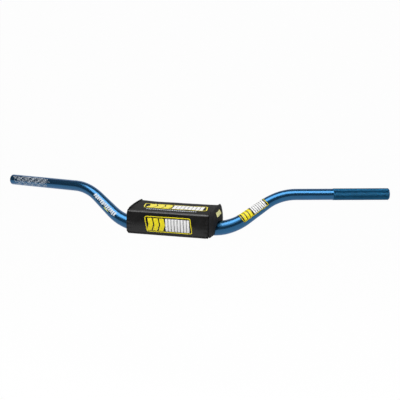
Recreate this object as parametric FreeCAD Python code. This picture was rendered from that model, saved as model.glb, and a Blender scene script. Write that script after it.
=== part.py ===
"""Tapered motocross handlebar with a square bar pad, each physical piece a separate solid.

Millimetres. The origin is the tube's axis in the middle of the clamping length. +X runs along the
clamping length to the rider's left, +Y points back to the rider and +Z up, as the bar stands on a
motorcycle: its risers lean back in line with the forks.
"""
import FreeCAD, Part
import math
import os
from FreeCAD import Vector

# Tube: sizes along and across
BAR_WIDTH = 818.0           # between the centres of the two end faces
CLAMP_DIAMETER = 28.6       # oversize clamping length
GRIP_DIAMETER = 22.2
WALL = 4.0
CLAMP_LENGTH = 146.0        # straight middle, between the lower bends
LOWER_BEND_RADIUS = 105.0
RISER_ANGLE = 39.6          # degrees that each lower bend turns up
RISER_LENGTH = 47.0         # straight part of each riser
UPPER_BEND_RADIUS = 103.0
GRIP_SWEEP = 15.8           # degrees back, seen from above the bar's own plane
GRIP_RISE = 7.0             # degrees up
LEAN_BACK = 24.5            # degrees that the bar's own plane leans to the rider
TAPER_START = 97.5          # along the centreline, from the middle
TAPER_END = 211.5
KNURL_LENGTH = 112.0        # knurled seat of the glued grip, on the rider's left
KNURL_HEIGHT = 0.15
KNURL_LEAD = 0.6            # length of the step up to the knurl
RIM_CHAMFER = 1.2
BORE_CHAMFER = 0.5

# Film decal round one riser
DECAL_THICKNESS = 0.2
DECAL_GLUE = 0.05           # layer of glue under the film
DECAL_START = 136.0         # along the centreline
DECAL_LENGTH = 61.0
DECAL_TOP_ANGLE = -106.0    # round the tube, from straight ahead, upwards negative
DECAL_LOW_ANGLE = 25.0
DECAL_SLANT = 4.5           # the lower edge lies this much further out

# Pad: outside of the sewn cover
PAD_LENGTH = 164.2
PAD_FRONT = 60.8            # from the tube's axis forward to the face of the front flap
PAD_BACK = 36.0             # from the tube's axis back to the rear panel
PAD_FRONT_HEIGHT = 38.0     # from the tube's axis up to the front edge
PAD_BACK_HEIGHT = 45.0
PAD_DROP = 8.0              # from the tube's axis down to the foam's underside
PAD_CANT = 1.07             # degrees that the strapped pad sits askew on the bar
TOP_CROWN = 2.4             # rise of the top's arc over its chord
FRONT_EDGE_RADIUS = 4.5
BACK_EDGE_RADIUS = 10.0
FOOT_RADIUS = 5.0           # rear lower edge
COVER_THICKNESS = 1.8
END_PANEL_THICKNESS = 1.6
SOFT_GAP = 0.3              # between soft pieces and the tube
SLOT_GRIP = 2.9             # each lip under the tube closes in this much, so that the pad snaps on
LEAST_RADIUS = 1.0          # inner roundings of the folded cover are never sharper

# Front closure: lining sewn over the foam, loop tape, hook tape, hanging flap
LINING_THICKNESS = 1.2
LOOP_THICKNESS = 1.1
HOOK_THICKNESS = 1.1
TAPE_HEIGHT = 25.0
TAPE_INSET = 9.0            # from the pad's ends
TAPE_LIFT = 8.0             # lower edge of the tapes above the foam's underside
FLAP_CORNER = 4.0           # clipped lower corners of the flap
FLAP_HEM = 0.7              # the flap hangs this much above the foam's underside

# Recess in the foam for the bar clamp
RECESS_CLEARANCE = 1.3      # past each end of the clamping length
RECESS_FRONT = 30.0
RECESS_BACK = 24.0
RECESS_HEIGHT = 30.0
RECESS_RADIUS = 6.0

# Raised seam along the top and back edges of both ends
WELT_WIDTH = 2.6
WELT_HEIGHT = 1.7

# Strap under the tube, between the two feet of the bar clamp
STRAP_WIDTH = 40.0
STRAP_THICKNESS = 1.2
STRAP_CLEARANCE = 3.0       # under the tube
STRAP_TAPE_LENGTH = 11.0
STRAP_TAPE_THICKNESS = 1.0
STRAP_TAPE_INSET = 13.5     # from the foam's front, so that the flap hides the strap's end
STRAP_TAPE_MARGIN = 1.0     # from each edge of the strap

# Construction only
PAST = 1.0                  # cutting shapes run this far past what they cut
FAR = 300.0                 # limits of the boxes that keep one side of a shape

CLAMP_RADIUS = CLAMP_DIAMETER / 2
GRIP_RADIUS = GRIP_DIAMETER / 2
HALF_CLAMP = CLAMP_LENGTH / 2
HALF_PAD = PAD_LENGTH / 2
X_AXIS = Vector(1, 0, 0)
MIRROR = (Vector(0, 0, 0), X_AXIS)


def leaned(vector):
    """A vector of the bar's own upright frame, leaned back about the clamping length."""
    lean = math.radians(LEAN_BACK)
    y = vector.y * math.cos(lean) + vector.z * math.sin(lean)
    z = -vector.y * math.sin(lean) + vector.z * math.cos(lean)
    return Vector(vector.x, y, z)


class Straight:
    """A straight run of the centreline."""

    def __init__(self, begin, start, heading, length):
        self.begin = begin
        self.end = begin + length
        self.start = start
        self.heading = heading
        self.length = length

    def point(self, s):
        return self.start + self.heading * (s - self.begin)

    def direction(self, s):
        return self.heading

    def solid(self, s0, s1, r0, r1):
        if abs(r0 - r1) < 1e-9:
            return Part.makeCylinder(r0, s1 - s0, self.point(s0), self.heading)
        return Part.makeCone(r0, r1, s1 - s0, self.point(s0), self.heading)


class Bend:
    """A run of the centreline on an arc, from one heading to another."""

    def __init__(self, begin, start, heading, new_heading, radius):
        self.begin = begin
        self.heading = heading
        self.radius = radius
        turn = heading.getAngle(new_heading)
        self.inward = (new_heading - heading * heading.dot(new_heading)).normalize()
        self.axis = heading.cross(self.inward)
        self.centre = start + self.inward * radius
        self.length = radius * turn
        self.end = begin + self.length

    def turned(self, s, vector):
        angle = math.degrees((s - self.begin) / self.radius)
        return FreeCAD.Rotation(self.axis, angle).multVec(vector)

    def point(self, s):
        return self.centre - self.turned(s, self.inward) * self.radius

    def direction(self, s):
        return self.turned(s, self.heading)

    def solid(self, s0, s1, r0, r1):
        if abs(r0 - r1) < 1e-9:
            disc = Part.Face(Part.Wire(Part.makeCircle(r0, self.point(s0), self.direction(s0))))
            angle = math.degrees((s1 - s0) / self.radius)
            return disc.revolve(self.centre, self.axis, angle)
        middle = self.point((s0 + s1) / 2)
        spine = Part.Wire(Part.Arc(self.point(s0), middle, self.point(s1)).toShape())
        shell = Part.BRepOffsetAPI.MakePipeShell(spine)
        shell.setFrenetMode(True)
        for s, r in ((s0, r0), (s1, r1)):
            shell.add(Part.Wire(Part.makeCircle(r, self.point(s), self.direction(s))))
        shell.build()
        shell.makeSolid()
        return shell.shape()


def centreline():
    """The runs of the right half, from the end of the clamping length to the tube's end."""
    riser = math.radians(RISER_ANGLE)
    sweep = math.radians(GRIP_SWEEP)
    rise = math.radians(GRIP_RISE)
    up_riser = leaned(Vector(math.cos(riser), 0, math.sin(riser)))
    level = math.cos(rise)
    along_grip = leaned(Vector(math.cos(sweep) * level, math.sin(sweep) * level, math.sin(rise)))
    lower = Bend(HALF_CLAMP, Vector(HALF_CLAMP, 0, 0), X_AXIS, up_riser, LOWER_BEND_RADIUS)
    middle = Straight(lower.end, lower.point(lower.end), up_riser, RISER_LENGTH)
    upper = Bend(middle.end, middle.point(middle.end), up_riser, along_grip, UPPER_BEND_RADIUS)
    grip_start = upper.point(upper.end)
    grip_length = (BAR_WIDTH / 2 - grip_start.x) / along_grip.x
    grip = Straight(upper.end, grip_start, along_grip, grip_length)
    return [lower, middle, upper, grip]


RUNS = centreline()
GRIP_RUN = RUNS[-1]
TUBE_END = GRIP_RUN.end


def tube_radius(s):
    """Outer radius of the tube at a length s along the centreline."""
    share = (s - TAPER_START) / (TAPER_END - TAPER_START)
    share = min(max(share, 0.0), 1.0)
    return CLAMP_RADIUS + (GRIP_RADIUS - CLAMP_RADIUS) * share


def tube_stretch(s0, s1, offset):
    """Solids of the right half from s0 to s1, the outer radius changed by offset."""
    solids = []
    for run in RUNS:
        stops = [run.begin, TAPER_START, TAPER_END, run.end, s0, s1]
        low = max(run.begin, s0)
        high = min(run.end, s1)
        stops = sorted(set(s for s in stops if low <= s <= high))
        for a, b in zip(stops, stops[1:]):
            if b - a > 1e-6:
                solids.append(run.solid(a, b, tube_radius(a) + offset, tube_radius(b) + offset))
    return solids


def fused(solids):
    """One solid from touching ones, with the seams between like faces removed."""
    return solids[0].multiFuse(solids[1:]).removeSplitter().Solids[0]


def tube_envelope(offset):
    """The whole tube filled, its outer radius changed by offset."""
    half = tube_stretch(HALF_CLAMP, TUBE_END, offset)
    other = [solid.mirror(*MIRROR) for solid in half]
    middle = Part.makeCylinder(CLAMP_RADIUS + offset, CLAMP_LENGTH, Vector(-HALF_CLAMP, 0, 0), X_AXIS)
    return fused([middle] + half + other)


def end_trim(radius, chamfer, inside):
    """Ring that takes the chamfer off the rim, outside or inside, of the right end."""
    start = GRIP_RUN.point(TUBE_END - chamfer)
    heading = GRIP_RUN.heading
    reach = chamfer + PAST
    if inside:
        return Part.makeCone(radius, radius + reach, reach, start, heading)
    band = Part.makeCylinder(radius + PAST, reach, start, heading)
    return band.cut(Part.makeCone(radius, radius - reach, reach, start, heading))


def knurl_band():
    """The raised seat of the glued grip, a ring round the grip at the right end."""
    begin = TUBE_END - KNURL_LENGTH
    heading = GRIP_RUN.heading
    raised = GRIP_RADIUS + KNURL_HEIGHT
    lead = Part.makeCone(GRIP_RADIUS, raised, KNURL_LEAD, GRIP_RUN.point(begin), heading)
    band = Part.makeCylinder(raised, KNURL_LENGTH - KNURL_LEAD, GRIP_RUN.point(begin + KNURL_LEAD), heading)
    return [lead, band]


def handlebar_tube():
    """One hollow tube: constant wall, tapered through two bends that lie in different planes."""
    outside = fused([tube_envelope(0.0)] + knurl_band())
    tube = outside.cut(tube_envelope(-WALL))
    raised = GRIP_RADIUS + KNURL_HEIGHT
    tube = tube.cut(end_trim(raised, RIM_CHAMFER, False))
    tube = tube.cut(end_trim(GRIP_RADIUS, RIM_CHAMFER, False).mirror(*MIRROR))
    mouth = end_trim(GRIP_RADIUS - WALL, BORE_CHAMFER, True)
    tube = tube.cut(mouth).cut(mouth.mirror(*MIRROR))
    return tube.Solids[0]


def round_tube(s, angle):
    """Unit vector out of the tube at s, turned by angle from straight ahead, upwards negative."""
    along = RUNS[1].direction(s)
    ahead = Vector(0, -1, 0)
    ahead = (ahead - along * ahead.dot(along)).normalize()
    return FreeCAD.Rotation(along, angle).multVec(ahead)


def riser_decal():
    """Thin film wrapped round the front and top of the rider's left riser, its ends slanted."""
    riser = RUNS[1]
    reach = 2 * CLAMP_DIAMETER
    middle_angle = (DECAL_LOW_ANGLE + DECAL_TOP_ANGLE) / 2
    downward = round_tube(riser.begin, middle_angle + 90)
    slant = riser.heading * (DECAL_SLANT / (2 * CLAMP_RADIUS))
    corners = [riser.point(DECAL_START)]
    arms = ((DECAL_LOW_ANGLE, reach), (middle_angle, 2 * reach), (DECAL_TOP_ANGLE, reach))
    for angle, length in arms:
        arm = round_tube(riser.begin, angle) * length
        corners.append(corners[0] + arm + slant * arm.dot(downward))
    wedge = Part.Face(Part.makePolygon(corners + corners[:1])).extrude(riser.heading * DECAL_LENGTH)
    margin = DECAL_SLANT + PAST
    begin = DECAL_START - margin
    end = DECAL_START + DECAL_LENGTH + margin
    film = fused(tube_stretch(begin, end, DECAL_GLUE + DECAL_THICKNESS))
    return film.common(wedge).cut(tube_envelope(DECAL_GLUE)).Solids[0]


def pad_section(inset):
    """The pad's section in the YZ plane, the outside moved in by inset, and its rounded corners."""
    front = -PAD_FRONT + inset
    back = PAD_BACK - inset
    foot = -PAD_DROP
    front_top = PAD_FRONT_HEIGHT - inset
    back_top = PAD_BACK_HEIGHT - inset
    slope = Vector(0, back - front, back_top - front_top)
    lift = Vector(0, -slope.z, slope.y).normalize() * TOP_CROWN
    a = Vector(0, front, foot)
    b = Vector(0, front, front_top)
    c = Vector(0, back, back_top)
    d = Vector(0, back, foot)
    crown = Part.Arc(b, (b + c) * 0.5 + lift, c).toShape()
    outline = [Part.makeLine(a, b), crown, Part.makeLine(c, d), Part.makeLine(d, a)]
    return Part.Face(Part.Wire(outline)), b, c, d


def pad_block(inset, half_length):
    """The pad's section drawn out along X, with its long edges rounded."""
    section, front_top, back_top, foot = pad_section(inset)
    section.translate(Vector(-half_length, 0, 0))
    block = section.extrude(Vector(2 * half_length, 0, 0))
    radii = (
        (front_top, FRONT_EDGE_RADIUS - inset),
        (back_top, BACK_EDGE_RADIUS - inset),
        (foot, FOOT_RADIUS - inset),
    )
    for corner, radius in radii:
        edges = [edge for edge in block.Edges if (edge.CenterOfMass - corner).Length < 1e-3]
        block = block.makeFillet(max(radius, LEAST_RADIUS), edges)
    return block.Solids[0]


def box(x, y, z):
    """Box from three pairs of limits."""
    return Part.makeBox(x[1] - x[0], y[1] - y[0], z[1] - z[0], Vector(x[0], y[0], z[0]))


# Places along the pad's section, from the outside in
FOAM_INSET = COVER_THICKNESS
FOAM_HALF = HALF_PAD - END_PANEL_THICKNESS
CLOSURE_DEPTH = LOOP_THICKNESS + HOOK_THICKNESS
FLAP_BACK = -PAD_FRONT + COVER_THICKNESS
LINING_FRONT = FLAP_BACK + CLOSURE_DEPTH
FOAM_FRONT = LINING_FRONT + LINING_THICKNESS


def canted(shape):
    """A pad piece turned by the small angle at which the pad is strapped on."""
    turned = shape.copy()
    turned.rotate(Vector(0, 0, 0), Vector(0, 1, 0), PAD_CANT)
    return turned


def tube_slot(clearance):
    """What the tube and its way in from below take out of the pad's ends."""
    half_mouth = CLAMP_RADIUS + clearance - SLOT_GRIP
    x = HALF_PAD + PAST
    mouth = box((-x, x), (-half_mouth, half_mouth), (-PAD_DROP - PAST, 0))
    return tube_envelope(clearance).fuse(mouth)


def pad_foam():
    """Moulded foam block with a recess for the bar clamp, its end walls snug on the tube."""
    block = pad_block(FOAM_INSET, FOAM_HALF)
    block = block.common(box((-FAR, FAR), (FOAM_FRONT, FAR), (-FAR, FAR)))
    half = HALF_CLAMP + RECESS_CLEARANCE
    recess = box((-half, half), (-RECESS_FRONT, RECESS_BACK), (-PAD_DROP - RECESS_HEIGHT, RECESS_HEIGHT))
    ceiling = []
    for edge in recess.Edges:
        at = edge.CenterOfMass
        if abs(at.z - RECESS_HEIGHT) < 1e-6 and abs(at.x) < 1e-6:
            ceiling.append(edge)
    recess = recess.makeFillet(RECESS_RADIUS, ceiling)
    foam = canted(block.cut(recess)).cut(tube_slot(SOFT_GAP))
    return foam.Solids[0]


def pad_cover():
    """One folded sheet: rear panel, top, and the flap that hangs free over the front."""
    outer = pad_block(0.0, HALF_PAD)
    inner = pad_block(COVER_THICKNESS, HALF_PAD + PAST)
    sheet = outer.cut(inner)
    foot = -PAD_DROP + FLAP_HEM
    body = box((-FOAM_HALF, FOAM_HALF), (FLAP_BACK, FAR), (foot, FAR))
    flap = box((-HALF_PAD, HALF_PAD), (-FAR, FLAP_BACK), (foot, FAR))
    sheet = sheet.common(body.fuse(flap))
    front = -PAD_FRONT - PAST
    for side in (-1, 1):
        corner = [
            Vector(side * (HALF_PAD + PAST), front, foot - PAST),
            Vector(side * (HALF_PAD - FLAP_CORNER - PAST), front, foot - PAST),
            Vector(side * (HALF_PAD + PAST), front, foot + FLAP_CORNER + PAST),
        ]
        clip = Part.Face(Part.makePolygon(corner + corner[:1]))
        sheet = sheet.cut(clip.extrude(Vector(0, COVER_THICKNESS + 2 * PAST, 0)))
    return canted(sheet.Solids[0])


def end_panel(side):
    """Sewn end of the cover, cut out from below for the tube."""
    block = pad_block(0.0, HALF_PAD)
    inner = FOAM_HALF
    x = (inner, HALF_PAD) if side > 0 else (-HALF_PAD, -inner)
    panel = block.common(box(x, (FOAM_FRONT - LINING_THICKNESS, FAR), (-FAR, FAR)))
    return canted(panel).cut(tube_slot(SOFT_GAP)).Solids[0]


def seam_welt(side):
    """Raised seam allowance standing on the cover along the top and back of one end."""
    grown = pad_block(-WELT_HEIGHT, HALF_PAD)
    ring = grown.cut(pad_block(0.0, HALF_PAD + PAST))
    x = (HALF_PAD - WELT_WIDTH, HALF_PAD) if side > 0 else (-HALF_PAD, -HALF_PAD + WELT_WIDTH)
    band = ring.common(box(x, (-PAD_FRONT, FAR), (-PAD_DROP + FOOT_RADIUS, FAR)))
    return canted(band.Solids[0])


def front_lining():
    """Panel sewn between the ends that holds the foam in behind the flap."""
    z_top = PAD_FRONT_HEIGHT - FRONT_EDGE_RADIUS - COVER_THICKNESS
    y = (LINING_FRONT, FOAM_FRONT)
    return canted(box((-FOAM_HALF, FOAM_HALF), y, (-PAD_DROP, z_top)))


def closure_tape(front, thickness):
    """One strip of hook or loop tape, from its front face back."""
    half = HALF_PAD - TAPE_INSET
    foot = -PAD_DROP + TAPE_LIFT
    return canted(box((-half, half), (front, front + thickness), (foot, foot + TAPE_HEIGHT)))


def strap_path(drop):
    """Bends of the strap's section, each moved down and out by drop."""
    low = -CLAMP_RADIUS - STRAP_CLEARANCE - drop
    front = FOAM_FRONT + STRAP_TAPE_INSET - STRAP_TAPE_MARGIN
    foot = -PAD_DROP - STRAP_TAPE_THICKNESS * 2 - drop
    back = PAD_BACK - COVER_THICKNESS - FOOT_RADIUS
    return [
        Vector(0, front, foot),
        Vector(0, -RECESS_FRONT, foot),
        Vector(0, -CLAMP_RADIUS / 2, low),
        Vector(0, CLAMP_RADIUS / 2, low),
        Vector(0, RECESS_BACK, -PAD_DROP - drop),
        Vector(0, back, -PAD_DROP - drop),
    ]


def bottom_strap():
    """Strap from under the rear panel, below the tube, to the tape under the foam's front."""
    upper = strap_path(0.0)
    lower = strap_path(STRAP_THICKNESS)
    section = Part.Face(Part.makePolygon(upper + lower[::-1] + upper[:1]))
    section.translate(Vector(-STRAP_WIDTH / 2, 0, 0))
    return canted(section.extrude(Vector(STRAP_WIDTH, 0, 0)))


def strap_tape(layer):
    """Patch of tape under the foam's front, loop on the foam and hook on the strap."""
    top = -PAD_DROP - layer * STRAP_TAPE_THICKNESS
    start = FOAM_FRONT + STRAP_TAPE_INSET
    half = STRAP_WIDTH / 2 - STRAP_TAPE_MARGIN
    z = (top - STRAP_TAPE_THICKNESS, top)
    return canted(box((-half, half), (start, start + STRAP_TAPE_LENGTH), z))


def build():
    """Every node of the model by name."""
    return {
        "handlebar_tube": handlebar_tube(),
        "riser_decal": riser_decal(),
        "pad_foam": pad_foam(),
        "pad_cover": pad_cover(),
        "end_panel_left": end_panel(1),
        "end_panel_right": end_panel(-1),
        "seam_welt_left": seam_welt(1),
        "seam_welt_right": seam_welt(-1),
        "front_lining": front_lining(),
        "flap_hook_tape": closure_tape(FLAP_BACK, HOOK_THICKNESS),
        "lining_loop_tape": closure_tape(FLAP_BACK + HOOK_THICKNESS, LOOP_THICKNESS),
        "bottom_strap": bottom_strap(),
        "strap_loop_tape": strap_tape(0),
        "strap_hook_tape": strap_tape(1),
    }


os.makedirs("parts", exist_ok=True)
for name, shape in build().items():
    shape.exportStep(os.path.join("parts", name + ".step"))
    size = shape.BoundBox
    print(f"{name}: valid {shape.isValid()}, solids {len(shape.Solids)}, volume {shape.Volume:.0f} mm3, "
          f"size {size.XLength:.1f} x {size.YLength:.1f} x {size.ZLength:.1f}")
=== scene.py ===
import math
import bmesh
import bpy
import numpy as np
from mathutils import Matrix, Vector, noise


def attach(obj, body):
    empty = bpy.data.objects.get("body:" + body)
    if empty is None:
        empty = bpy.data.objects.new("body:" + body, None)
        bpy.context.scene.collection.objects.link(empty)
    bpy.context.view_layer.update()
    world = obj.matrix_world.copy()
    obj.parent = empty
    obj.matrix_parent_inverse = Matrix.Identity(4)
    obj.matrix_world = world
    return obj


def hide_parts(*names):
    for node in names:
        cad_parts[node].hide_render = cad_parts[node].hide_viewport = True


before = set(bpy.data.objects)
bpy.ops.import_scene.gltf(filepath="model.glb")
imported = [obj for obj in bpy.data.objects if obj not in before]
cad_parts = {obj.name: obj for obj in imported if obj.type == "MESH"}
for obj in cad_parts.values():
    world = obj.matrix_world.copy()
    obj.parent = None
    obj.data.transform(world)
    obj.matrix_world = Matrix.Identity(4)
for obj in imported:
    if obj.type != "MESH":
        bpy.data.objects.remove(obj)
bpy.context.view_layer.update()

# Sizes in millimetres, as the solids have them
CLAMP_RADIUS = 14.3
GRIP_RADIUS = 11.1
HALF_CLAMP = 73.0
LOWER_BEND_RADIUS = 105.0
UPPER_BEND_RADIUS = 103.0
RISER_ANGLE = 39.6
RISER_LENGTH = 47.0
GRIP_SWEEP = 15.8
GRIP_RISE = 7.0
LEAN_BACK = 24.5
TAPER_START = 97.5
TAPER_END = 211.5
HALF_WIDTH = 409.0
KNURL_LENGTH = 112.0
PAD_CANT = 1.07
HALF_PAD = 82.1
FOAM_HALF = 80.5
PAD_FRONT = 60.8
PAD_BACK = 36.0
FRONT_HEIGHT = 38.0
BACK_HEIGHT = 45.0
TOP_CROWN = 2.4
PAD_DROP = 8.0
FLAP_FOOT = -7.3
FRONT_RADIUS = 4.5
BACK_RADIUS = 10.0
FOOT_RADIUS = 5.0
COVER_THICKNESS = 1.8
LINING_FACE = 56.8
SLOT_GAP = 0.5

# How the cover is stuffed, pulled and lifted, beyond the solids' plain shapes
COVER_FOOT = 27.0
FLAP_NEAR_EDGE = 80.2
END_SLACK = 2.1
FLAP_BULGE = 2.3
CORNER_LIFT = 1.5
TOP_SAG = 2.1
END_BULGE = 7.6
END_DIP = 0.7
SEAM_SHARE = 0.8                    # share of the end's bulge that the cover's edge follows
BULGE_START = 60.0                  # distance from the middle at which the cover starts to lean out
BULGE_RUN = 20.5
PULL_START = 60.0
PULL_RUN = 20.0
WRINKLE = 0.42
FINE_WRINKLE = 0.14
PUCKER_DEPTH = 0.16
PUCKER_PITCH = 7.5
PUCKER_REACH = 6.0
STITCH_INSET = 3.6
DIMPLE_DEPTH = 0.28
DIMPLE_REACH = 0.9
CELL = 1.6                          # usual width of a mesh cell


# Placing: the tube's centreline and surface

def unit(v):
    return v / np.linalg.norm(v)


def leaned(x, y, z):
    lean = math.radians(LEAN_BACK)
    return np.array([x, y * math.cos(lean) + z * math.sin(lean), -y * math.sin(lean) + z * math.cos(lean)])


def tube_runs():
    """Runs of the right half: start length, start point, heading, inward, radius of bend, length."""
    riser = math.radians(RISER_ANGLE)
    sweep = math.radians(GRIP_SWEEP)
    rise = math.radians(GRIP_RISE)
    along = np.array([1.0, 0, 0])
    up_riser = leaned(math.cos(riser), 0, math.sin(riser))
    level = math.cos(rise)
    grip = leaned(math.cos(sweep) * level, math.sin(sweep) * level, math.sin(rise))
    runs = [(0.0, np.zeros(3), along, None, 0.0, HALF_CLAMP)]
    for heading, new, radius, straight in (
        (along, up_riser, LOWER_BEND_RADIUS, RISER_LENGTH),
        (up_riser, grip, UPPER_BEND_RADIUS, None),
    ):
        s, start, h, _, _, length = runs[-1]
        start = start + h * length
        s = s + length
        inward = unit(new - heading * heading.dot(new))
        turn = math.acos(heading.dot(new))
        runs.append((s, start, heading, inward, radius, radius * turn))
        end = start + radius * (math.sin(turn) * heading + (1 - math.cos(turn)) * inward)
        if straight is None:
            straight = (HALF_WIDTH - end[0]) / new[0]
        runs.append((s + radius * turn, end, new, None, 0.0, straight))
    return runs


RUNS = tube_runs()
TUBE_END = RUNS[-1][0] + RUNS[-1][5]


def tube_axis(s):
    """Point and heading of the right half's centreline."""
    for run in reversed(RUNS):
        if s >= run[0] or run is RUNS[0]:
            start_s, start, heading, inward, radius, _ = run
            break
    if inward is None:
        return start + heading * (s - start_s), heading
    a = (s - start_s) / radius
    point = start + radius * (math.sin(a) * heading + (1 - math.cos(a)) * inward)
    return point, math.cos(a) * heading + math.sin(a) * inward


def tube_radius(s):
    share = min(max((s - TAPER_START) / (TAPER_END - TAPER_START), 0.0), 1.0)
    return CLAMP_RADIUS + (GRIP_RADIUS - CLAMP_RADIUS) * share


def on_tube(side, base=0.0):
    """Places (length, degrees round the tube, lift) on one half. 0 faces ahead, negative is up."""
    def place(s, angle, lift):
        point, heading = tube_axis(s)
        ahead = np.array([0, -1.0, 0])
        ahead = unit(ahead - heading * ahead.dot(heading))
        below = np.cross(heading, ahead)
        a = math.radians(angle)
        out = math.cos(a) * ahead + math.sin(a) * below
        q = point + out * (tube_radius(s) + base + lift)
        return np.array([q[0] * side, q[1], q[2]])
    return place


# Placing: the pad's own frame, turned by the small angle at which it is strapped on

CANT = math.radians(PAD_CANT)


def stretched(x):
    """The sewn cover pulled a little past the foam at the far end."""
    if x > -PULL_START:
        return x
    return x - END_SLACK * min((-PULL_START - x) / PULL_RUN, 1.0) ** 2


def canted(x, y, z):
    x = stretched(x)
    return np.array([x * math.cos(CANT) + z * math.sin(CANT), y, -x * math.sin(CANT) + z * math.cos(CANT)])


def rounded_path(corners, step=0.3):
    """Dense polyline through (y, z, radius) corners, each rounded by an arc."""
    points = [np.array(corners[0][:2])]
    for before, corner, after in zip(corners, corners[1:], corners[2:]):
        p = np.array(corner[:2])
        into = unit(p - np.array(before[:2]))
        out = unit(np.array(after[:2]) - p)
        turn = math.acos(max(-1.0, min(1.0, into.dot(out))))
        radius = corner[2]
        if radius == 0.0 or turn < 1e-6:
            points.append(p)
            continue
        back = radius * math.tan(turn / 2)
        sign = math.copysign(1.0, into[0] * out[1] - into[1] * out[0])
        normal = sign * np.array([-into[1], into[0]])
        centre = p - into * back + normal * radius
        n = max(4, int(radius * turn / step))
        for k in range(n + 1):
            a = turn * k / n
            points.append(centre + radius * (math.sin(a) * into - math.cos(a) * normal))
    points.append(np.array(corners[-1][:2]))
    points = np.array(points)
    lengths = np.r_[0, np.cumsum(np.linalg.norm(np.diff(points, axis=0), axis=1))]
    dense = np.arange(0, lengths[-1] + step / 2, step)
    even = np.stack([np.interp(dense, lengths, points[:, k]) for k in (0, 1)], 1)
    return dense, even


def crown(front, back, front_z, back_z, n=9):
    """Points of the top's shallow arc, its two ends left out."""
    chord = np.array([back - front, back_z - front_z])
    lift = unit(np.array([-chord[1], chord[0]])) * TOP_CROWN
    points = []
    for k in range(1, n):
        u = k / n
        p = np.array([front, front_z]) + chord * u + lift * 4 * u * (1 - u)
        points.append((p[0], p[1], 0.0))
    return points


class Outline:
    """A path in the pad's YZ plane, with an outward normal, read by its length."""

    def __init__(self, corners):
        self.s, self.p = rounded_path(corners)
        self.length = self.s[-1]
        tangent = np.gradient(self.p, axis=0)
        tangent /= np.linalg.norm(tangent, axis=1)[:, None]
        normal = np.stack([-tangent[:, 1], tangent[:, 0]], 1)
        kernel = np.ones(5) / 5
        pad = np.pad(normal, ((2, 2), (0, 0)), "edge")
        self.n = np.stack([np.convolve(pad[:, k], kernel, "valid") for k in (0, 1)], 1)

    def at(self, s):
        y = np.interp(s, self.s, self.p[:, 0])
        z = np.interp(s, self.s, self.p[:, 1])
        ny = np.interp(s, self.s, self.n[:, 0])
        nz = np.interp(s, self.s, self.n[:, 1])
        return y, z, ny, nz


COVER = Outline(
    [(-PAD_FRONT, FLAP_FOOT, 0), (-PAD_FRONT, FRONT_HEIGHT, FRONT_RADIUS)]
    + crown(-PAD_FRONT, PAD_BACK, FRONT_HEIGHT, BACK_HEIGHT)
    + [(PAD_BACK, BACK_HEIGHT, BACK_RADIUS), (PAD_BACK, -PAD_DROP, FOOT_RADIUS), (COVER_FOOT, -PAD_DROP, 0)]
)
# Lengths along the cover from the flap's foot
FLAP_TOP = FRONT_HEIGHT - FRONT_RADIUS - FLAP_FOOT
FOLD = FLAP_TOP + 5.4
FOLD_REACH = 1.5
TOP_START = FLAP_TOP + 7.0
SAG_END = TOP_START + 115.0         # a little way down the back

# Shares of the end's bulge, as (y, share) from front to back and (z, share) from foot to top
BULGE_ALONG = np.array([
    (-60.8, 0.0), (-45, 0.08), (-25, 0.42), (0, 0.82), (18, 1.0), (28, 0.9), (36, 0.62),
]).T
BULGE_UP = np.array([
    (-8, 0.1), (-2, 0.38), (6, 0.78), (12, 0.95), (18, 1.0),
    (26, 0.9), (34, 0.62), (40, 0.32), (44, 0.1), (48, 0.0),
]).T


def ripple(x, s, size, seed):
    return noise.noise(Vector((x / size, s / size, seed)))


def end_bulge(y, z):
    """How far the stuffed end stands out beyond its seam's plane."""
    return END_BULGE * np.interp(y, *BULGE_ALONG) * np.interp(z, *BULGE_UP)


def puff(x, s):
    """How far the cover's face stands off the straight outline."""
    reach = abs(x) / FOAM_HALF
    out = -END_DIP * reach ** 12
    out += WRINKLE * ripple(x, s, 32.0, 1.7) + FINE_WRINKLE * ripple(x, s, 12.0, 5.2)
    if s < FLAP_TOP:
        out += FLAP_BULGE * math.sin(math.pi * (s / FLAP_TOP) ** 1.1) * (1 - 0.5 * reach ** 4)
        corner = max((x - PULL_START) / PULL_RUN, 0.0)
        out += CORNER_LIFT * corner ** 2 * (1 - s / FLAP_TOP) ** 2
    if s > TOP_START:
        over_top = math.sin(math.pi * min((s - TOP_START) / (SAG_END - TOP_START), 1.0)) ** 0.7
        out -= TOP_SAG * over_top * (1 - reach ** 6)
    edge = max(FOAM_HALF - abs(x), 0.0)
    wave = 2 * math.pi * s / PUCKER_PITCH + 4.0 * ripple(0, s, 30.0, 9.1)
    out += PUCKER_DEPTH * math.exp(-edge / PUCKER_REACH) * math.sin(wave)
    return out


def on_cover(base=0.0):
    """Places (x, length up the front and over, lift) on the cover's outer face."""
    def place(x, s, lift):
        y, z, ny, nz = COVER.at(s)
        out = puff(x, s) + base + lift
        shift = 0.0
        if abs(x) > BULGE_START:
            share = min((abs(x) - BULGE_START) / BULGE_RUN, 1.0)
            shift = math.copysign(end_bulge(y, z) * share ** 2 * SEAM_SHARE, x)
        return canted(x + shift, y + ny * out, z + nz * out)
    return place


# Making meshes

def new_piece(name, points, faces, material, smooth=True, replaces=()):
    """A mesh piece from points in millimetres."""
    mesh = bpy.data.meshes.new(name)
    mesh.from_pydata([tuple(p * 0.001) for p in points], [], faces)
    mesh.validate()
    bm = bmesh.new()
    bm.from_mesh(mesh)
    bmesh.ops.recalc_face_normals(bm, faces=bm.faces)
    bm.to_mesh(mesh)
    bm.free()
    if smooth:
        mesh.shade_smooth()
    else:
        mesh.shade_flat()
    piece = bpy.data.objects.new(name, mesh)
    bpy.context.scene.collection.objects.link(piece)
    mesh.materials.append(material)
    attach(piece, "root")
    if replaces:
        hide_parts(*replaces)
    return piece


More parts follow.
